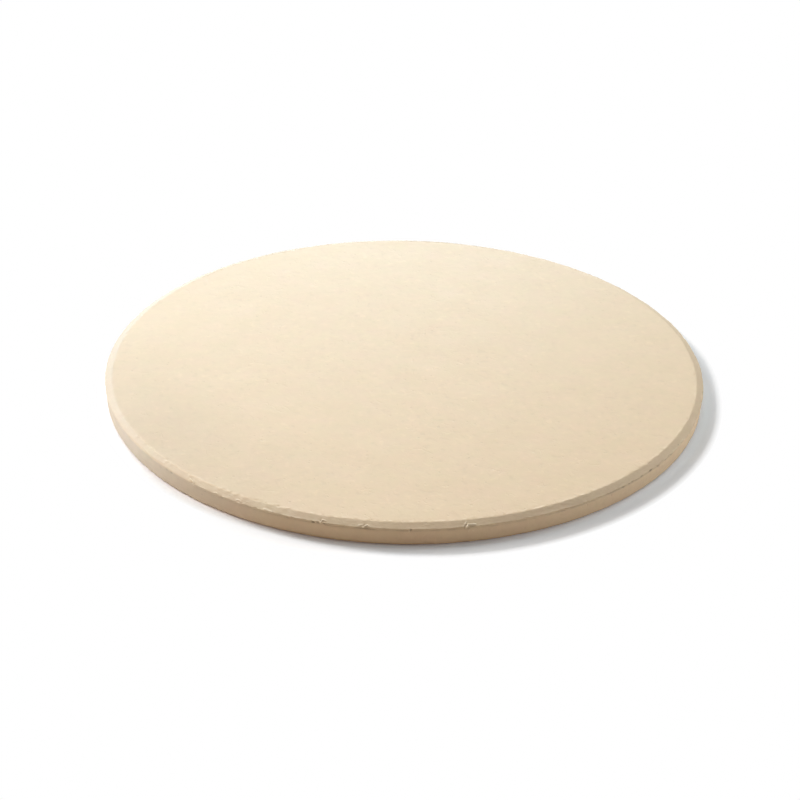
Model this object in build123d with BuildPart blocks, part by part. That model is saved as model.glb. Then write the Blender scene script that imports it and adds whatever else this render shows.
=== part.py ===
from build123d import *
import os

# A round pizza stone: one slab of cordierite ceramic, pressed in a die and fired.
# Millimetres. The origin is the middle of the flat underside, and +Z points up through the baking face.

# Overall sizes
rim_diameter = 380.0
stone_thickness = 13.0

# Bevel round the baking face, and the soft corner between the two
bevel_width = 4.2
bevel_height = 1.7
face_corner_radius = 3.0

# Burr that the press leaves where the upper punch meets the die wall
burr_reach = 0.5
burr_lip_height = 0.3
burr_root_height = 0.7

# Rounded lower edge, which the stone is lifted by
lower_edge_radius = 2.0

# Places that follow from the sizes above
rim_radius = rim_diameter / 2
wall_radius = rim_radius - burr_reach
face_radius = rim_radius - bevel_width
burr_top = stone_thickness - bevel_height
burr_bottom = burr_top - burr_lip_height
wall_top = burr_bottom - burr_root_height

# The slab's section, from its middle to its rim, turned round its middle
with BuildPart() as pizza_stone:
    with BuildSketch(Plane.XZ):
        with BuildLine():
            Polyline(
                (0, 0),
                (wall_radius, 0),
                (wall_radius, wall_top),
                (rim_radius, burr_bottom),
                (rim_radius, burr_top),
                (face_radius, stone_thickness),
                (0, stone_thickness),
                close=True,
            )
        make_face()
    revolve(axis=Axis.Z)

    # The lower edge is the lowest ring, and the baking face's corner the highest
    rings = pizza_stone.edges().filter_by(GeomType.CIRCLE)
    fillet(rings.group_by(Axis.Z)[0], radius=lower_edge_radius)
    rings = pizza_stone.edges().filter_by(GeomType.CIRCLE)
    fillet(rings.group_by(Axis.Z)[-1], radius=face_corner_radius)

pizza_stone.part.label = "pizza_stone"

os.makedirs("parts", exist_ok=True)
export_step(pizza_stone.part, "parts/pizza_stone.step")
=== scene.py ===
import math

import bpy
import numpy as np
from mathutils import Matrix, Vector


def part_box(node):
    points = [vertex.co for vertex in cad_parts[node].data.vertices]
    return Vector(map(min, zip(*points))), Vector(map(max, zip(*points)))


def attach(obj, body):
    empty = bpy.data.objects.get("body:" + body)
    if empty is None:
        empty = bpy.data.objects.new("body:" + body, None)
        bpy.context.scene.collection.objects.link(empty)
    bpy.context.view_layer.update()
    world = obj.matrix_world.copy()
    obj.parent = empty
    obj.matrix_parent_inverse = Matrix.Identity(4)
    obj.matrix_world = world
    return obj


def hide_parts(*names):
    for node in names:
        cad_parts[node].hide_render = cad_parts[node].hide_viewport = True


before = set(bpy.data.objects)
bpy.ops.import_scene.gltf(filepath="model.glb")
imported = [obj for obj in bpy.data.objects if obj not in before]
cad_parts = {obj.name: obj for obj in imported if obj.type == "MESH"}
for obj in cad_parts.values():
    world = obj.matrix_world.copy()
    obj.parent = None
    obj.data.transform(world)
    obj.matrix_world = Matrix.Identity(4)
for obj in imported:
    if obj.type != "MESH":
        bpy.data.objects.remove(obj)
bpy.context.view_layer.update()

# The stone's outline
# The stone is one round slab of cordierite, pressed in a steel die and fired. Its outline is the half section
# from the middle of the baking face over the bevel, the press burr and the wall to the middle of the underside.

_, slab_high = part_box("pizza_stone")
thickness = slab_high.z
rim_radius = slab_high.x
bevel_width = 0.0042
bevel_height = 0.0017
face_corner_radius = 0.0030
burr_reach = 0.0005
burr_lip_height = 0.0003
burr_root_height = 0.0007
lower_edge_radius = 0.0020

face_radius = rim_radius - bevel_width
wall_radius = rim_radius - burr_reach
burr_top = thickness - bevel_height
burr_bottom = burr_top - burr_lip_height
wall_top = burr_bottom - burr_root_height
bevel_slope = math.atan2(bevel_height, bevel_width)
corner_reach = face_corner_radius * math.tan(bevel_slope / 2)

# How fine the mesh is: most and fewest columns round a ring, the cells of the two flat faces, how far the close
# rows reach up and down from the burr, the last row's distance from a sharp ring, and how far the columns crowd
finest = 2048
coarsest = 16
face_cell = 0.0046
underside_cell = 0.0090
fine_up = 0.0024
fine_down = 0.0014
last_gap = 0.0001
crowding = 0.55


def straight(start, end, rows):
    """Rows along a line of the section: the start, plus each row's share of the way to the end. The end itself
    is left out, as the next stretch starts there."""
    share = np.arange(rows)[:, None] / rows
    return np.array(start) + share * (np.array(end) - np.array(start))


def arc(middle, radius, first, last, rows):
    """Rows along a circle of the section: the middle, plus the radius times each angle's cosine and sine."""
    angles = first + (last - first) * np.arange(rows) / rows
    return np.array(middle) + radius * np.stack([np.cos(angles), np.sin(angles)], 1)


def up_bevel(distance):
    """The section's point that lies the given distance up the bevel from the burr."""
    return (rim_radius - distance * math.cos(bevel_slope), burr_top + distance * math.sin(bevel_slope))


def columns_at(radius, cell):
    """Columns round a flat face's ring: the power of two that keeps each column about as wide as a cell."""
    wanted = 2 * math.pi * np.maximum(radius, cell) / cell
    return np.clip(2 ** np.ceil(np.log2(wanted)), coarsest, finest / 4).astype(int)


face_edge = (face_radius - corner_reach, thickness)
before_edge = (face_edge[0] - last_gap, thickness)
corner_middle = (face_edge[0], thickness - face_corner_radius)
bevel_start = (face_radius + corner_reach * math.cos(bevel_slope),
               thickness - corner_reach * math.sin(bevel_slope))
wall_fine_end = (wall_radius, wall_top - fine_down)
under_edge = (wall_radius - lower_edge_radius, 0.0)

face_rows = straight((face_cell, thickness), (face_edge[0] - face_cell, thickness), 40)
edge_rows = straight((face_edge[0] - face_cell, thickness), before_edge, 4)
before_edge_rows = straight(before_edge, face_edge, 1)
corner_rows = arc(corner_middle, face_corner_radius, math.pi / 2, math.pi / 2 - bevel_slope, 4)
upper_bevel_rows = straight(bevel_start, up_bevel(fine_up), 4)
lower_bevel_rows = straight(up_bevel(fine_up), up_bevel(last_gap), 8)
before_lip_rows = straight(up_bevel(last_gap), (rim_radius, burr_top), 1)
lip_rows = straight((rim_radius, burr_top), (rim_radius, burr_bottom), 2)
root_rows = straight((rim_radius, burr_bottom), (wall_radius, wall_top), 3)
upper_wall_rows = straight((wall_radius, wall_top), wall_fine_end, 4)
lower_wall_rows = straight(wall_fine_end, (wall_radius, lower_edge_radius), 8)
lower_edge_rows = arc((under_edge[0], lower_edge_radius), lower_edge_radius, 0, -math.pi / 2, 4)
underside_rows = straight(under_edge, (underside_cell, 0.0), 23)

bands = [
    (face_rows, columns_at(face_rows[:, 0], face_cell)),
    (edge_rows, finest // 2), (before_edge_rows, finest), (corner_rows, finest), (upper_bevel_rows, finest),
    (lower_bevel_rows, finest), (before_lip_rows, finest), (lip_rows, finest), (root_rows, finest),
    (upper_wall_rows, finest), (lower_wall_rows, finest // 2), (lower_edge_rows, finest // 2),
    (underside_rows, columns_at(underside_rows[:, 0], underside_cell)),
]
section = np.concatenate([rows for rows, _ in bands])
columns = np.concatenate([np.broadcast_to(count, len(rows)) for rows, count in bands])

# A ring has at least half as many columns as each of its neighbours
for row in range(len(columns) - 1, 0, -1):
    columns[row - 1] = max(columns[row - 1], columns[row] // 2)
for row in range(1, len(columns)):
    columns[row] = max(columns[row], columns[row - 1] // 2)

# How far along the section each row lies, and which way the surface faces there
along = np.concatenate([[0.0], np.cumsum(np.hypot(*np.diff(section, axis=0).T))])
slope_out, slope_up = np.gradient(section[:, 0], along), np.gradient(section[:, 1], along)
normal = np.stack([-slope_up, slope_out], 1) / np.hypot(slope_out, slope_up)[:, None]

# Every ring's vertices in one list: which ring each is on, and how many finest columns round from +X. The
# columns stand closer together in front, where the rim's marks are seen.
ring = np.repeat(np.arange(len(columns)), columns)
first_vertex = np.cumsum(columns) - columns
column = (np.arange(columns.sum()) - first_vertex[ring]) * (finest // columns)[ring]
turn = np.arange(finest) * 2 * math.pi / finest
turn -= crowding * np.cos(turn)
angle = turn[column]
run = along[ring]


# The fired surface
# Pressing and firing leave the faces faintly wavy, the rim a little out of round and the whole skin with a fine
# tooth. Each part of the surface moves along the section's normal by waves drawn with a fixed seed.

face_wave = 0.00005
skin_tooth = 0.000018
bevel_wave = 0.00003
bevel_tooth = 0.00002
wall_wave = 0.00003
die_line = 0.000004
foot_wave = 0.00012
corner_wave = 0.00018
corner_nick = 0.00016
out_of_round = 0.0003

# A start that lies before the middle of the baking face, so that nothing fades there
from_middle = -1.0


def ripple(seed, fewest, most, size):
    """A wave for each finest column: cosines that go round fewest to most times, with drawn strengths and
    starts, added up and scaled so that their usual size is size."""
    draw = np.random.default_rng(seed)
    times = np.arange(fewest, most + 1)[:, None]
    strength = draw.normal(size=times.shape)
    start = draw.uniform(0, 2 * math.pi, times.shape)
    wave = (strength * np.cos(times * turn + start)).sum(0)
    return size * wave / wave.std()


def swell(seed, flat_x, flat_y, shortest, longest, size):
    """A gentle wave over a flat face: plane waves of drawn direction, start and length, added up and scaled."""
    draw = np.random.default_rng(seed)
    count = 40
    heading = draw.uniform(0, 2 * math.pi, count)
    pitch = 2 * math.pi / np.exp(draw.uniform(math.log(shortest), math.log(longest), count))
    start = draw.uniform(0, 2 * math.pi, count)
    ahead = np.outer(np.cos(heading), flat_x) + np.outer(np.sin(heading), flat_y)
    return size * np.cos(pitch[:, None] * ahead + start[:, None]).sum(0) / math.sqrt(count / 2)


def tooth(seed, across, size):
    """A drawn number for each ring and finest column, blurred round the rim over about across columns. Part of
    each ring's numbers carries over to the next ring."""
    draw = np.random.default_rng(seed)
    carried_over = 0.6
    rough = draw.normal(size=(len(columns), finest))
    times = np.fft.rfftfreq(finest, 1 / finest)
    keep = np.exp(-(times * across / finest) ** 2 * 4)
    rough = np.fft.irfft(np.fft.rfft(rough, axis=1) * keep, finest, axis=1)
    rough = rough + np.roll(rough, 1, axis=0) * carried_over
    return (size * rough / rough.std())[ring, column]


def near(place, width):
    """How near each vertex is to a place on the section: 1 at the place, fading as a bell over the width."""
    return np.exp(-((run - place) / width) ** 2)


def between(start, end, fade):
    """1 between two places on the section, fading to 0 over the fade at each end."""
    opened = np.clip((run - start) / fade + 0.5, 0, 1)
    closed = np.clip((end - run) / fade + 0.5, 0, 1)
    return opened * closed


def side(degrees, half, fade):
    """1 on the side of the stone round an angle from +X, out to a half width, fading to 0 over the fade."""
    apart = np.abs((np.degrees(turn) - degrees + 180) % 360 - 180)
    return np.clip((half - apart) / fade + 0.5, 0, 1)


def place_of(rows):
    """How far along the section a band's first row lies."""
    return along[np.hypot(*(section - rows[0]).T).argmin()]


corner_place = place_of(corner_rows)
lip_place = place_of(lip_rows)
wall_place = place_of(upper_wall_rows)
edge_place = place_of(lower_edge_rows)
under_place = place_of(underside_rows)

radius = section[ring, 0].copy()
height = section[ring, 1].copy()

rise = swell(11, radius * np.cos(angle), radius * np.sin(angle), 0.030, 0.150, face_wave)
rise *= between(from_middle, corner_place, 0.004)
rise += tooth(12, 3, skin_tooth) * between(corner_place - 0.004, under_place, 0.003)
bevel_rise = ripple(13, 4, 40, bevel_wave)[column] + tooth(14, 5, bevel_tooth)
rise += bevel_rise * between(corner_place, lip_place, 0.001)
wall_rise = (ripple(15, 250, 700, die_line) + ripple(16, 5, 60, wall_wave))[column]
rise += wall_rise * between(wall_place, edge_place, 0.001)
rise -= np.abs(ripple(17, 6, 90, foot_wave))[column] * near(edge_place + 0.0012, 0.0012)

# The bevel's upper edge wanders a little, most of all at the left front, and the rim is slightly out of round
knocked = 0.35 + 0.65 * side(240, 32, 20)
corner_wander = (knocked * (ripple(18, 3, 25, corner_wave) + ripple(19, 60, 300, corner_nick)))[column]
radius += corner_wander * near(corner_place + 0.0006, 0.0016)
radius *= 1 + ripple(20, 2, 5, out_of_round)[column]


# The press burr
# Where the upper punch meets the die wall the press squeezes out a thin fin, which firing leaves as a brittle
# ragged line with a groove under it, which painted shade darkens. Handling breaks short pieces of it away, and
# rounds it on the left.

burr_wave = 0.00006
burr_teeth = 0.00006
lip_wave = 0.00005
lip_teeth = 0.00003
burr_swell = 0.00005
break_level = 1.1
break_reach = 0.0004
groove_depth = 0.00030
wear_blur = 0.0016
wear_reach = 0.0028

worn = side(220, 20, 26)[column]
burr_line = (ripple(21, 12, 90, burr_wave) + ripple(22, 120, 420, burr_teeth))[column]
burr_break = np.clip(ripple(23, 40, 260, 1.0) - break_level, 0, 1)[column]
lip = near(lip_place + burr_lip_height / 2, 0.0005) * (1 - worn)
radius += (burr_line - break_reach * burr_break) * lip
lip_lift = (ripple(24, 8, 60, lip_wave) + ripple(25, 120, 400, lip_teeth))[column]
height += lip_lift * near(lip_place, 0.0008)
rise += burr_swell * near(lip_place, 0.0005) * (1 - worn)

# The groove comes and goes round the rim, and is deepest in front
groove_share = 0.75 + 0.25 * np.tanh(ripple(26, 20, 160, 1.0)) + 0.25 * np.tanh(ripple(27, 2, 9, 1.0))
groove_share *= 0.35 + 0.65 * side(290, 42, 16)
groove = near(wall_place + 0.0005, 0.0006) * groove_share[column] * (1 - worn)
rise -= groove_depth * groove

# On the left the section is blurred along its own length, which takes the burr off and rounds the edge
row_length = np.gradient(along)
blur = np.exp(-((along[:, None] - along) / wear_blur) ** 2) * row_length
rounded = blur @ section / blur.sum(1, keepdims=True)
wear_share = worn * between(lip_place - wear_reach, wall_place + wear_reach, wear_blur)
wear = (rounded - section)[ring] * wear_share[:, None]
radius += wear[:, 0]
height += wear[:, 1]


# Chips, pits and torn burrs of the rim
# The marks that handling has left on the rim, each at its angle from +X and, in millimetres, its distance from
# the burr: up the bevel is plus, and down the wall, as far as it looks in the photograph, is minus.

view_slope = 0.541
below_marks = -1.0
usual_half = 0.28
small_pits = 40
corner_bruises = 30
small_slivers = 26

# A ring that lies further in looks higher up in the photograph, by the tangent of the camera's 28 degrees. No
# mark lies below the wall.
seen_down = burr_top - section[ring, 1] - view_slope * (rim_radius - section[ring, 0])
up_place = np.where(run < lip_place, lip_place - run, -seen_down)
up_place[run > edge_place] = below_marks


def at_mark(degrees, up):
    """Each vertex's distance from a mark in millimetres: round the rim, and up the section from the mark."""
    apart = (angle - math.radians(degrees) + math.pi) % (2 * math.pi) - math.pi
    return apart * rim_radius * 1000, up_place * 1000 - up


def scoop(degrees, up, wide, tall, deep):
    """A pit: minus deep times a bell of the distances over the half sizes."""
    around, above = at_mark(degrees, up)
    return -deep / 1000 * np.exp(-(around / wide) ** 2 - (above / tall) ** 2)


def stroke(degrees, line, lift, half=usual_half):
    """A raised line through the points of a list, each to the right of the angle and above the burr: lift times
    a bell of the distance from the nearest of its pieces over the half width."""
    around, above = at_mark(degrees, 0)
    nearest = np.full(len(around), 1000.0)
    for start, end in zip(line[:-1], line[1:]):
        right, up = end[0] - start[0], end[1] - start[1]
        share = ((around - start[0]) * right + (above - start[1]) * up) / (right ** 2 + up ** 2)
        share = np.clip(share, 0, 1)
        apart = np.hypot(around - start[0] - share * right, above - start[1] - share * up)
        nearest = np.minimum(nearest, apart)
    return lift / 1000 * np.exp(-(nearest / half) ** 2)


raised = [
    stroke(281.3, [(-0.6, 1.2), (3.4, 0.9)], 0.75, 0.42),
    stroke(281.3, [(-0.7, 1.0), (-1.1, 0.3), (-2.2, -0.8)], 0.60, 0.32),
    stroke(281.3, [(-1.3, 3.0), (-3.1, 0.4)], 0.35),
    stroke(281.3, [(-0.6, -2.9), (0.3, -1.7)], 0.36),
    stroke(281.3, [(1.4, -3.4), (2.8, -2.6)], 0.34),
    stroke(264.0, [(-3.5, 0.7), (-1.2, 1.6)], 0.35, 0.35),
    stroke(264.0, [(-0.9, -0.2), (1.2, 1.5), (3.2, 0.3)], 0.45, 0.32),
    stroke(256.9, [(-1.2, -0.4), (0.1, 1.8), (1.8, 1.1)], 0.45, 0.32),
    stroke(256.9, [(-3.3, 0.4), (-1.9, 0.3)], 0.40, 0.40),
    stroke(271.3, [(0.0, 0.6), (0.0, -1.8)], 0.25),
    stroke(247.1, [(-2.2, 0.8), (-0.2, 0.7), (2.8, 0.2)], 0.45, 0.45),
    stroke(251.5, [(-5.6, 0.3), (5.2, 0.2)], 0.18, 0.35),
    stroke(231.3, [(-2.6, 1.9), (-0.4, 1.6), (0.8, 0.6), (1.5, -0.6)], 0.50),
    stroke(231.9, [(0.0, -0.3), (0.8, -1.0)], 0.35),
    stroke(233.9, [(-2.0, 0.3), (2.0, 0.2)], 0.25),
    stroke(236.8, [(-1.5, 0.4), (0.0, 1.0), (1.3, 0.3)], 0.35),
    stroke(238.6, [(-1.2, 0.2), (1.0, 0.5)], 0.25),
    stroke(241.5, [(-1.8, 1.0), (0.0, 1.7), (1.6, 0.8)], 0.45),
    stroke(241.5, [(-0.4, 0.1), (1.8, -0.3)], 0.30),
    stroke(322.4, [(-0.5, -2.1), (0.6, -2.1)], 0.35),
    stroke(323.3, [(-0.4, -3.0), (0.5, -3.1)], 0.35),
    stroke(296.0, [(-0.8, 0.3), (0.8, 0.8)], 0.22),
    stroke(302.7, [(-1.2, 0.4), (0.6, 0.2)], 0.20),
]
sunk = [
    scoop(281.7, -0.4, 1.8, 0.6, 0.30),
    scoop(280.5, 0.6, 0.5, 0.8, 0.25),
    scoop(264.0, -1.0, 3.4, 0.4, 0.40),
    scoop(263.9, 1.4, 0.3, 0.4, 0.25),
    scoop(256.6, 1.0, 0.3, 0.5, 0.30),
    scoop(255.3, -0.9, 0.9, 0.5, 0.60),
    scoop(256.1, -0.8, 0.7, 0.4, 0.40),
    scoop(257.2, -0.7, 0.8, 0.4, 0.50),
    scoop(271.6, -0.8, 0.4, 0.6, 0.50),
    scoop(248.5, 4.9, 1.4, 0.6, 0.30),
    scoop(231.2, 0.1, 0.9, 0.5, 0.35),
    scoop(319.0, -0.8, 1.4, 0.6, 1.00),
    scoop(316.5, -0.8, 0.9, 0.5, 0.60),
    scoop(313.8, -0.5, 0.8, 0.4, 0.55),
    scoop(313.1, -0.8, 0.7, 0.4, 0.55),
    scoop(311.5, -1.1, 0.9, 0.5, 0.65),
    scoop(321.6, -1.7, 1.0, 0.4, 0.50),
    scoop(324.3, -1.4, 1.1, 0.4, 0.45),
    scoop(326.5, -1.5, 1.3, 0.5, 0.40),
    scoop(331.5, -1.2, 1.8, 0.5, 0.35),
    scoop(308.8, -0.8, 4.0, 0.4, 0.30),
]

# More of the same small damage all the way round, drawn with a fixed seed
draw = np.random.default_rng(31)
for _ in range(small_pits):
    degrees, up = draw.uniform(0, 360), draw.normal(-0.4, 0.5)
    wide, deep = draw.uniform(0.6, 1.4), draw.uniform(0.12, 0.35)
    sunk.append(scoop(degrees, up, wide, 0.4, deep))
for _ in range(corner_bruises):
    degrees, up = draw.uniform(0, 360), draw.normal(4.6, 0.3)
    wide, deep = draw.uniform(0.8, 2.6), draw.uniform(0.06, 0.22)
    sunk.append(scoop(degrees, up, wide, 0.7, deep))
for _ in range(small_slivers):
    degrees, start, lift = draw.uniform(0, 360), draw.uniform(0.1, 0.8), draw.uniform(0.12, 0.28)
    line = [(0, start), (draw.uniform(0.6, 1.6), start + draw.uniform(-0.5, 0.6))]
    raised.append(stroke(degrees, line, lift, 0.3))
raised_height, sunk_depth = np.max(raised, axis=0), np.min(sunk, axis=0)
rise += raised_height + sunk_depth

radius += rise * normal[ring, 0]
height += rise * normal[ring, 1]
height = np.maximum(height, 0.0)


# The stone's mesh
# The fired slab has one closed skin. The rings are joined into it: quads between rings of the same count, three
# triangles a step where the count halves, and a fan round the middle of each flat face.

def join_rings(upper, lower):
    """Faces between two rings, turned outwards. Where one ring has twice the columns of the other, each step of
    the coarser ring takes three triangles."""
    upper_start, lower_start = first_vertex[upper], first_vertex[lower]
    few, many = sorted((columns[upper], columns[lower]))
    here = np.arange(few)
    after = (here + 1) % few
    if few == many:
        corners = (upper_start + here, lower_start + here, lower_start + after, upper_start + after)
        return np.stack(corners, 1).tolist()
    finer_above = columns[upper] == many
    fine_start, coarse_start = (upper_start, lower_start) if finer_above else (lower_start, upper_start)
    first, middle, last = (fine_start + (2 * here + more) % many for more in range(3))
    near_corner, far_corner = coarse_start + here, coarse_start + after
    triangles = [(first, near_corner, middle), (middle, near_corner, far_corner), (middle, far_corner, last)]
    if not finer_above:
        triangles = [(one, three, two) for one, two, three in triangles]
    return np.concatenate([np.stack(corners, 1) for corners in triangles]).tolist()


def fan(ring_number, pole, upward):
    """Triangles from a pole to every step of a ring."""
    here = np.arange(columns[ring_number])
    this_corner = here + first_vertex[ring_number]
    next_corner = (here + 1) % len(here) + first_vertex[ring_number]
    poles = np.full(len(here), pole)
    order = (poles, this_corner, next_corner) if upward else (poles, next_corner, this_corner)
    return np.stack(order, 1).tolist()


points = np.stack([radius * np.cos(angle), radius * np.sin(angle), height], 1)
top_pole, bottom_pole = len(points), len(points) + 1
top_height = height[:columns[0]].mean()
points = np.concatenate([points, [(0, 0, top_height), (0, 0, 0)]])
faces = fan(0, top_pole, True) + fan(len(columns) - 1, bottom_pole, False)
for upper in range(len(columns) - 1):
    faces += join_rings(upper, upper + 1)

stone_mesh = bpy.data.meshes.new("pizza_stone_fired")
stone_mesh.from_pydata(points.tolist(), [], faces)
stone_mesh.polygons.foreach_set("use_smooth", np.ones(len(faces), bool))
stone = bpy.data.objects.new("stone", stone_mesh)
bpy.context.scene.collection.objects.link(stone)


# The clay's tints, and painted light and shade
# The bevel is a little darker than the baking face, and the wall about the same colour. Raised breaks are
# paler, partly fresh clay and partly a painted highlight, and the outer face is a little darker at the left
# front.
# Painted shade darkens the pits, the groove and the foot of the wall, painted light pales the lit left of the
# bevel and the wall, and painted light and shade lighten or darken some other sides of the bevel and the wall.

fresh_and_highlight_lift = 0.0006
pit_shade_depth = 0.0005
foot_painted_shade = 0.22
left_front_face_darkening = 0.20
groove_painted_shade = 0.45
front_groove_painted_shade = 0.22


def tint(name, share):
    """Keeps a share for each vertex under a name, for the material; the two poles have none."""
    kept = stone_mesh.attributes.new(name, "FLOAT", "POINT")
    kept.data.foreach_set("value", np.concatenate([share, [0, 0]]).astype(np.float32))


def by_side(shares):
    """The sum of shares that each lie on one side of the stone, with its angle, half width and fade."""
    return sum(share * side(degrees, half, fade) for share, degrees, half, fade in shares)[column]


on_bevel = between(corner_place, lip_place, 0.0006)
on_wall = between(lip_place, under_place, 0.0006)
# Where painted light pales the lit left of the wall and of the bevel
left_front = side(212, 20, 36)
left_back = side(168, 26, 30) * (1 - left_front)
painted_lit_pale_bevel = (0.28 * side(204, 14, 34) + 0.36 * left_back)[column] * on_bevel

# The shares below darken the clay, mostly as painted shade; a share below zero is painted light and lightens it
# Painted shade in the pits, darker the deeper the pit
painted_shading = np.clip(-sunk_depth / pit_shade_depth, 0, 1) * between(lip_place - 0.0015, edge_place, 0.0010)
# Painted shade at the foot of the wall, less at the left front
low_wall = np.clip((run - wall_place - 0.003) / 0.009, 0, 1) * between(wall_place, under_place, 0.0002)
painted_shading += foot_painted_shade * low_wall * (1 - 0.9 * side(236, 10, 16)[column])
# Painted light and shade on the bevel by side: darker at the front right, the right, behind and the left
# behind, lighter at the left front
painted_shading += on_bevel * by_side([(0.28, 300, 16, 36), (0.36, 98, 36, 24), (0.16, 80, 10, 20), (0.18, 172, 22, 30),
                             (0.10, 0, 8, 14), (-0.22, 233, 14, 22), (-0.13, 214, 18, 32)])
# Darker towards the rim at the left front of the baking face
outer_face = np.clip((section[ring, 0] / rim_radius - 0.60) / 0.26, 0, 1)
outer_face *= between(from_middle, corner_place + 0.0006, 0.0010)
painted_shading += left_front_face_darkening * side(214, 26, 40)[column] * outer_face
# Painted shade on the wall: a little darker at the left front, and darker behind, where the lamps light it most
painted_shading += (between(lip_place + 0.0010, under_place, 0.0012)
          * by_side([(0.05, 230, 14, 20), (0.06, 241, 8, 10), (0.20, 140, 50, 60)]))
# Painted shade in the groove under the burr, deepest in front
painted_shading += ((groove_painted_shade + front_groove_painted_shade * side(274, 7, 6))[column]
          * groove * between(lip_place + 0.0003, edge_place, 0.0002))

tint("bevel", between(corner_place + 0.0007, under_place, 0.0006))
tint("wall", between(lip_place + 0.0004, under_place, 0.0002))
# Pale where breaks stand up: partly fresh clay, partly a painted highlight
tint("fresh_and_highlight", np.clip(raised_height / fresh_and_highlight_lift, 0, 1))
# Painted light: paler on the lit left of the wall and the bevel
tint("painted_lit_pale", left_front[column] * on_wall + painted_lit_pale_bevel)
tint("painted_shading", painted_shading)
stone_mesh.update()


# Cordierite
# Fired cordierite is a matt cream ceramic with a sandy grain: fine grog, small dark iron specks in loose
# clusters, a few pale ones, and short curved dents. The face is a little yellower in front and paler behind, a
# painted sheen.

face_colour = (0.781, 0.611, 0.405, 1.0)
# The face's tint in front, and the paler one behind, a painted sheen
front_of_face = (1.0, 0.972, 0.937, 1.0)
painted_sheen_behind = (1.0, 1.028, 1.063, 1.0)
bevel_colour = (0.708, 0.556, 0.371, 1.0)
wall_colour = (0.786, 0.604, 0.407, 1.0)
# The pale of fresh clay and painted highlights, and the paler colour of painted light on the lit left
fresh_and_highlight_colour = (0.94, 0.80, 0.60, 1.0)
painted_lit_pale_colour = (0.865, 0.752, 0.622, 1.0)
greener = (0.990, 1.010, 0.990, 1.0)
redder = (1.010, 0.990, 1.010, 1.0)
painted_shading_strength = 0.50
fleck_strength = 0.050
relief_depth = 0.00012


def empty_tree(owner):
    """The node tree of a material or a world, with nothing in it."""
    owner.use_nodes = True
    owner.node_tree.nodes.clear()
    return owner.node_tree


def add(tree, kind, inputs=None, **settings):
    """Adds a shader node of a kind, with its settings, and sets or links its inputs, by name or by number."""
    made = tree.nodes.new(kind)
    for name, value in settings.items():
        setattr(made, name, value)
    for name, value in (inputs or {}).items():
        if isinstance(value, bpy.types.NodeSocket):
            tree.links.new(value, made.inputs[name])
        else:
            made.inputs[name].default_value = value
    return made


def maths(tree, kind, first, second, third=0.0):
    """A maths node's result."""
    return add(tree, "ShaderNodeMath", {0: first, 1: second, 2: third}, operation=kind).outputs[0]


def vectors(tree, kind, inputs):
    """A vector maths node's result: a number for a length or a dot product, and otherwise a vector."""
    made = add(tree, "ShaderNodeVectorMath", inputs, operation=kind)
    return made.outputs["Value" if kind in ("LENGTH", "DOT_PRODUCT") else "Vector"]


def share_between(tree, value, start, end, low=0.0, high=1.0):
    """How far a value lies on the way from start to end, given as a number from low to high."""
    limits = {"Value": value, "From Min": start, "From Max": end, "To Min": low, "To Max": high}
    return add(tree, "ShaderNodeMapRange", limits).outputs[0]


def blend_colours(tree, share, first, second):
    """The first colour, going over to the second by the share."""
    return add(tree, "ShaderNodeMix", {0: share, 6: first, 7: second}, data_type="RGBA").outputs[2]


def wander(tree, place, size, detail=2.0):
    """Noise whose blotches are about size across, from about -1 to 1."""
    noise = add(tree, "ShaderNodeTexNoise", {"Vector": place, "Scale": 1 / size, "Detail": detail})
    return maths(tree, "MULTIPLY_ADD", noise.outputs["Fac"], 4.0, -2.0)


def specks(tree, place, spacing, share, smallest, largest):
    """Round specks: 1 inside a speck and 0 outside. Each cell of about the spacing has one at its middle, kept
    for the given share of the cells, with a drawn size between the smallest and the largest share of the
    spacing. A second number is drawn for each cell."""
    soft_edge = 0.06
    cells = add(tree, "ShaderNodeTexVoronoi", {"Vector": place, "Scale": 1 / spacing})
    drawn = add(tree, "ShaderNodeSeparateColor", {"Color": cells.outputs["Color"]})
    size = maths(tree, "MULTIPLY_ADD", drawn.outputs["Green"], largest - smallest, smallest)
    inside = maths(tree, "SUBTRACT", size, cells.outputs["Distance"])
    inside = add(tree, "ShaderNodeClamp", {"Value": maths(tree, "DIVIDE", inside, soft_edge)}).outputs[0]
    kept = maths(tree, "LESS_THAN", drawn.outputs["Red"], share)
    return maths(tree, "MULTIPLY", inside, kept), drawn.outputs["Blue"]


cordierite = bpy.data.materials.new("cordierite")
tree = empty_tree(cordierite)
place = add(tree, "ShaderNodeTexCoord").outputs["Object"]
shifted = add(tree, "ShaderNodeMapping", {"Vector": place, "Location": (0.31, 0.17, 0.23)}).outputs[0]

mottle = wander(tree, place, 0.018)
grain = wander(tree, place, 0.0052)
sand = wander(tree, place, 0.0011, 1.0)
clustered = share_between(tree, wander(tree, place, 0.024), -0.6, 0.8, 0.35, 1.0)
dark, dark_depth = specks(tree, place, 0.0042, 0.26, 0.10, 0.24)
pale, _ = specks(tree, shifted, 0.0042, 0.12, 0.08, 0.16)

tone = 1.0
for blotches, strength in ((wander(tree, place, 0.080), 0.005), (mottle, 0.014), (grain, 0.017), (sand, 0.002)):
    tone = maths(tree, "MULTIPLY_ADD", blotches, strength, tone)
fleck_wave = wander(tree, shifted, 0.0044, 1.0)
light_fleck = share_between(tree, fleck_wave, 0.35, 1.0)
dark_fleck = share_between(tree, fleck_wave, -0.35, -1.0)
fleck = maths(tree, "SUBTRACT", light_fleck, dark_fleck)
tone = maths(tree, "MULTIPLY_ADD", maths(tree, "MULTIPLY", fleck, clustered), fleck_strength, tone)
dark_cut = maths(tree, "MULTIPLY", maths(tree, "MULTIPLY", dark, clustered),
                 maths(tree, "MULTIPLY_ADD", dark_depth, 0.09, 0.03))
tone = maths(tree, "SUBTRACT", tone, dark_cut)
tone = maths(tree, "MULTIPLY_ADD", pale, 0.03, tone)
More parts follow.
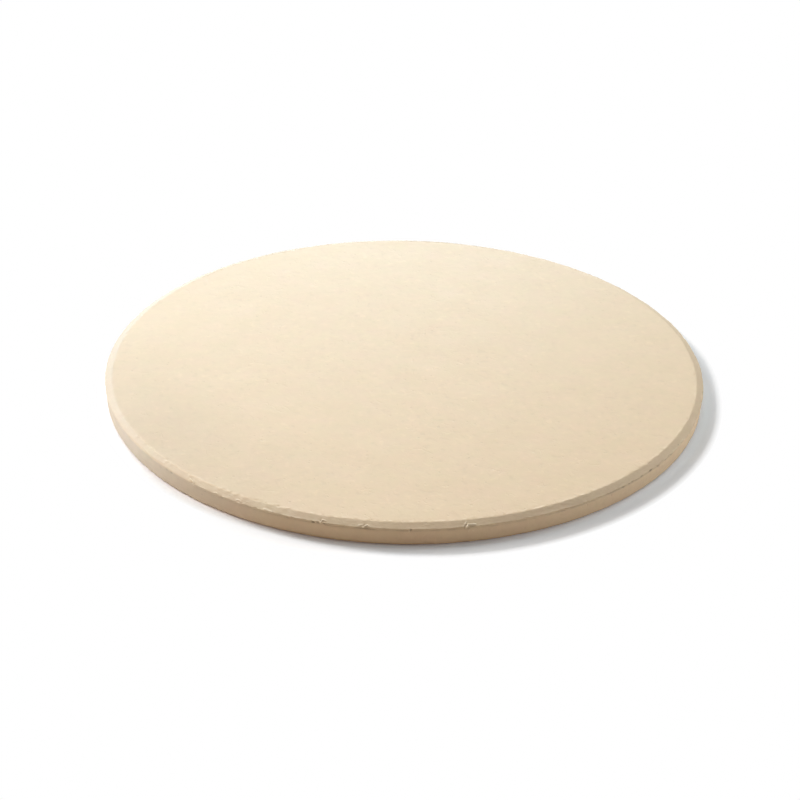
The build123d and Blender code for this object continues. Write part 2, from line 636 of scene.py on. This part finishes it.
# Painted shade darkens the colour, and painted light, below zero, lightens it
painted_shading_share = add(tree, "ShaderNodeAttribute", attribute_name="painted_shading").outputs["Fac"]
tone = maths(tree, "MULTIPLY_ADD", painted_shading_share, -painted_shading_strength, tone)

# Painted sheen: the face goes paler towards the back
to_back = add(tree, "ShaderNodeSeparateXYZ", {"Vector": place}).outputs["Y"]
to_back = share_between(tree, to_back, -rim_radius, rim_radius)
body_colour = blend_colours(tree, to_back, tuple(np.multiply(face_colour, front_of_face)),
                            tuple(np.multiply(face_colour, painted_sheen_behind)))
# The bevel and the wall, then painted light paling the lit left, then the pale of breaks and painted highlights
for name, colour in (("bevel", bevel_colour), ("wall", wall_colour), ("painted_lit_pale", painted_lit_pale_colour),
                     ("fresh_and_highlight", fresh_and_highlight_colour)):
    share = add(tree, "ShaderNodeAttribute", attribute_name=name).outputs["Fac"]
    body_colour = blend_colours(tree, share, body_colour, colour)
hue_share = maths(tree, "MULTIPLY_ADD", wander(tree, shifted, 0.012), 0.5, 0.5)
hue = blend_colours(tree, hue_share, greener, redder)
body_colour = vectors(tree, "MULTIPLY", {0: body_colour, 1: hue})
body_colour = vectors(tree, "SCALE", {0: body_colour, "Scale": tone})

# Short curved dents: where a wandering height crosses zero, inside scattered patches
contour = maths(tree, "ABSOLUTE", wander(tree, place, 0.0085, 1.0), 0.0)
contour = share_between(tree, contour, 0.0, 0.12, 1.0, 0.0)
patch = share_between(tree, wander(tree, shifted, 0.0110, 1.0), 0.25, 0.75)
dent = maths(tree, "MULTIPLY", contour, patch)

relief = maths(tree, "MULTIPLY_ADD", grain, 0.20, maths(tree, "MULTIPLY", sand, 0.02))
relief = maths(tree, "SUBTRACT", relief, dark)
relief = maths(tree, "MULTIPLY_ADD", fleck, 0.35, relief)
relief = maths(tree, "SUBTRACT", relief, dent)
bump = add(tree, "ShaderNodeBump", {"Height": relief, "Distance": relief_depth, "Strength": 0.7}).outputs[0]
roughness = maths(tree, "MULTIPLY_ADD", mottle, 0.02, 0.62)
shader = add(tree, "ShaderNodeBsdfPrincipled",
             {"Base Color": body_colour, "Roughness": roughness, "Normal": bump, "IOR": 1.5})
add(tree, "ShaderNodeOutputMaterial", {"Surface": shader.outputs[0]})
stone_mesh.materials.append(cordierite)

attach(stone, "root")
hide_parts("pizza_stone")


# The ground
# A plain sheet of matt white paper that the stone lies on. Behind the stone it gives less light back, so that
# the pale wall there keeps its colour. To the camera it is plain white, but for the stone's shadow and a
# painted shadow within a finger's breadth of the stone.

ground_reach = 30.0
paper_in_front = (0.82, 0.80, 0.73, 1.0)
paper_behind = (0.32, 0.31, 0.29, 1.0)
plain = (1.0, 1.0, 1.0, 1.0)
warmer_tone = (1.06, 0.96, 0.88, 1.0)
deeper_tone = (0.91, 0.91, 0.91, 1.0)
shade_lift = 1.55
# How far the painted shadow reaches, and its tones from the wall outward
painted_shadow_reach = 0.016
painted_shadow_at_wall = (0.65, 0.71, 0.80, 1.0)
painted_shadow_further_out = (0.92, 0.92, 0.92, 1.0)
painted_shadows_between = [
    (0.156, (0.694, 0.792, 0.880, 1.0)), (0.281, (0.739, 0.831, 0.910, 1.0)),
    (0.406, (0.744, 0.816, 0.870, 1.0)), (0.531, (0.812, 0.870, 0.920, 1.0)),
    (0.656, (0.845, 0.890, 0.920, 1.0)),
]

ground_mesh = bpy.data.meshes.new("ground")
ground_mesh.from_pydata([(-ground_reach, -ground_reach, 0), (ground_reach, -ground_reach, 0),
                         (ground_reach, ground_reach, 0), (-ground_reach, ground_reach, 0)],
                        [], [(0, 1, 2, 3)])
ground = bpy.data.objects.new("ground", ground_mesh)
bpy.context.scene.collection.objects.link(ground)


def ground_side(tree, outward, degrees, start, full):
    """How far the ground lies on the side of an angle from +X: the cosine of the angle between, as its share of
    the way from start to full."""
    way = (math.cos(math.radians(degrees)), math.sin(math.radians(degrees)), 0.0)
    return share_between(tree, vectors(tree, "DOT_PRODUCT", {0: outward, 1: way}), start, full)


def seen_rays(tree):
    """1 for the rays that show a surface as it is: the camera's own, and those that gloss and glass send on."""
    rays = add(tree, "ShaderNodeLightPath").outputs
    seen = maths(tree, "MAXIMUM", rays["Is Camera Ray"], rays["Is Glossy Ray"])
    return maths(tree, "MAXIMUM", seen, rays["Is Transmission Ray"])


paper = bpy.data.materials.new("white_ground")
tree = empty_tree(paper)
ground_place = add(tree, "ShaderNodeTexCoord").outputs["Object"]
distance = vectors(tree, "LENGTH", {0: ground_place})
outward = vectors(tree, "NORMALIZE", {0: ground_place})
behind = add(tree, "ShaderNodeSeparateXYZ", {"Vector": outward}).outputs["Y"]
behind = share_between(tree, behind, -0.2, 0.5)
lit_side = ground_side(tree, outward, 190, 0.20, 0.70)
right_back = ground_side(tree, outward, 18, 0.94, 0.99)
front = ground_side(tree, outward, 264, 0.86, 0.96)

# The light that the paper gives back to the stone
paper_colour = blend_colours(tree, behind, paper_in_front, paper_behind)
matt = add(tree, "ShaderNodeBsdfDiffuse", {"Color": paper_colour}).outputs[0]

# What the camera sees next to the stone: a painted shadow, whose tones go outward from the wall, warmer on the
# lit side and behind, deeper at the right behind, and in front deeper at the foot and lighter further out
away = share_between(tree, distance, wall_radius, wall_radius + painted_shadow_reach)
painted_contact_shadow = add(tree, "ShaderNodeValToRGB", {"Fac": away})
stops = painted_contact_shadow.color_ramp.elements
stops[0].color = painted_shadow_at_wall
stops[1].color = painted_shadow_further_out
for share, colour in painted_shadows_between:
    stops.new(share).color = colour
shade = vectors(tree, "SCALE", {0: painted_contact_shadow.outputs["Color"], "Scale": shade_lift})
warmer = blend_colours(tree, maths(tree, "MAXIMUM", behind, lit_side), plain, warmer_tone)
shade = vectors(tree, "MULTIPLY", {0: shade, 1: warmer})
deeper = blend_colours(tree, right_back, plain, deeper_tone)
shade = vectors(tree, "MULTIPLY", {0: shade, 1: deeper})
steeper = share_between(tree, distance, rim_radius + 0.0015, rim_radius + 0.0045, -0.13, 0.07)
shade = vectors(tree, "SCALE", {0: shade, "Scale": maths(tree, "MULTIPLY_ADD", front, steeper, 1.0)})
lifted = add(tree, "ShaderNodeBsdfDiffuse", {"Color": shade}).outputs[0]
camera_ray = add(tree, "ShaderNodeLightPath").outputs["Is Camera Ray"]
near_stone = add(tree, "ShaderNodeMixShader", {0: camera_ray, 1: matt, 2: lifted}).outputs[0]

# Further out the paper is plain white, painted over the shadow's outer edge: sooner on the lit side and later
# at the right behind
far_place = maths(tree, "MULTIPLY_ADD", right_back, -0.0012, distance)
far = share_between(tree, far_place, rim_radius + 0.0086, rim_radius + 0.0132)
clear = share_between(tree, distance, rim_radius + 0.0025, rim_radius + 0.0060)
far = maths(tree, "MAXIMUM", far, maths(tree, "MULTIPLY", clear, lit_side))
white = add(tree, "ShaderNodeEmission", {"Color": plain, "Strength": 1.0}).outputs[0]
whole = add(tree, "ShaderNodeMixShader",
            {0: maths(tree, "MULTIPLY", far, seen_rays(tree)), 1: near_stone, 2: white}).outputs[0]
add(tree, "ShaderNodeOutputMaterial", {"Surface": whole})
ground_mesh.materials.append(paper)


# The lights
# Soft studio light from square softboxes on stands, all turned to the stone's middle: the key at the left and a
# little behind, a cool one beside it, one high at the left, a cool one low behind, one low and one high at the
# right, and a weak warm one in front. None hangs overhead, and the white studio round them gives a little more.

lamp_distance = 2.0
studio_light = 0.074
neutral = (1.0, 1.0, 1.0)
softboxes = [
    ("key", 155, 35, 0.5, 24.6, neutral),
    ("left_back", 120, 28, 0.8, 20.7, (0.67, 0.86, 1.0)),
    ("left_high", 180, 45, 0.8, 5.4, neutral),
    ("back", 90, 12, 0.8, 17.7, (0.79, 0.89, 1.0)),
    ("right_low", 0, 12, 0.8, 13.3, neutral),
    ("right_high", 30, 45, 0.8, 6.8, neutral),
    ("front_fill", 240, 28, 0.8, 4.5, (1.0, 0.70, 0.54)),
]


def softbox(name, azimuth, elevation, size, watts, colour):
    """A square area light that looks at the origin from an azimuth, counted from +X, and an elevation."""
    lamp = bpy.data.lights.new(name, "AREA")
    lamp.shape = "SQUARE"
    lamp.size = size
    lamp.energy = watts
    lamp.color = colour
    around, above = math.radians(azimuth), math.radians(elevation)
    spot = np.array([math.cos(around) * math.cos(above), math.sin(around) * math.cos(above), math.sin(above)])
    made = bpy.data.objects.new(name, lamp)
    made.location = spot * lamp_distance
    made.rotation_euler = (math.pi / 2 - above, 0, around + math.pi / 2)
    bpy.context.scene.collection.objects.link(made)


for values in softboxes:
    softbox(*values)

studio = bpy.data.worlds.new("studio")
bpy.context.scene.world = studio
tree = empty_tree(studio)
strength = share_between(tree, seen_rays(tree), 0.0, 1.0, studio_light, 1.0)
sky = add(tree, "ShaderNodeBackground", {"Color": plain, "Strength": strength})
add(tree, "ShaderNodeOutputWorld", {"Surface": sky.outputs[0]})


# The camera
# A long lens a metre from the stone, 28 degrees above it. It is turned so that the middle of the rim shows at a
# named pixel of the photograph's 800 by 800 frame, and rolled a little, as the photograph is.

picture_size = 800
focal_length_px = 1624.26
camera_elevation = 0.49602
camera_roll = 0.01861
camera_distance = 5.5 * rim_radius
rim_middle_px = (404.34, 362.03)
sensor_width = 36.0

out = np.array([0, -math.cos(camera_elevation), math.sin(camera_elevation)])
forward = -out
right = np.array([1.0, 0, 0])
up = np.cross(right, forward)
right, up = (math.cos(camera_roll) * right + math.sin(camera_roll) * up,
             math.cos(camera_roll) * up - math.sin(camera_roll) * right)
across = (rim_middle_px[0] - picture_size / 2) / focal_length_px
upward = (picture_size / 2 - rim_middle_px[1]) / focal_length_px
pan = math.atan(across)
right, forward = (math.cos(pan) * right + math.sin(pan) * forward,
                  math.cos(pan) * forward - math.sin(pan) * right)
tilt = math.atan(upward * math.cos(pan))
up, forward = (math.cos(tilt) * up + math.sin(tilt) * forward,
               math.cos(tilt) * forward - math.sin(tilt) * up)

camera_data = bpy.data.cameras.new("camera")
camera_data.sensor_width = sensor_width
camera_data.lens = focal_length_px * sensor_width / picture_size
camera_data.clip_start = 0.01
camera = bpy.data.objects.new("camera", camera_data)
bpy.context.scene.collection.objects.link(camera)
matrix = np.eye(4)
matrix[:3, 0], matrix[:3, 1], matrix[:3, 2] = right, up, -forward
matrix[:3, 3] = out * camera_distance + (0, 0, burr_top)
camera.matrix_world = Matrix(matrix.tolist())
bpy.context.scene.camera = camera

bpy.context.scene.view_settings.view_transform = "Standard"
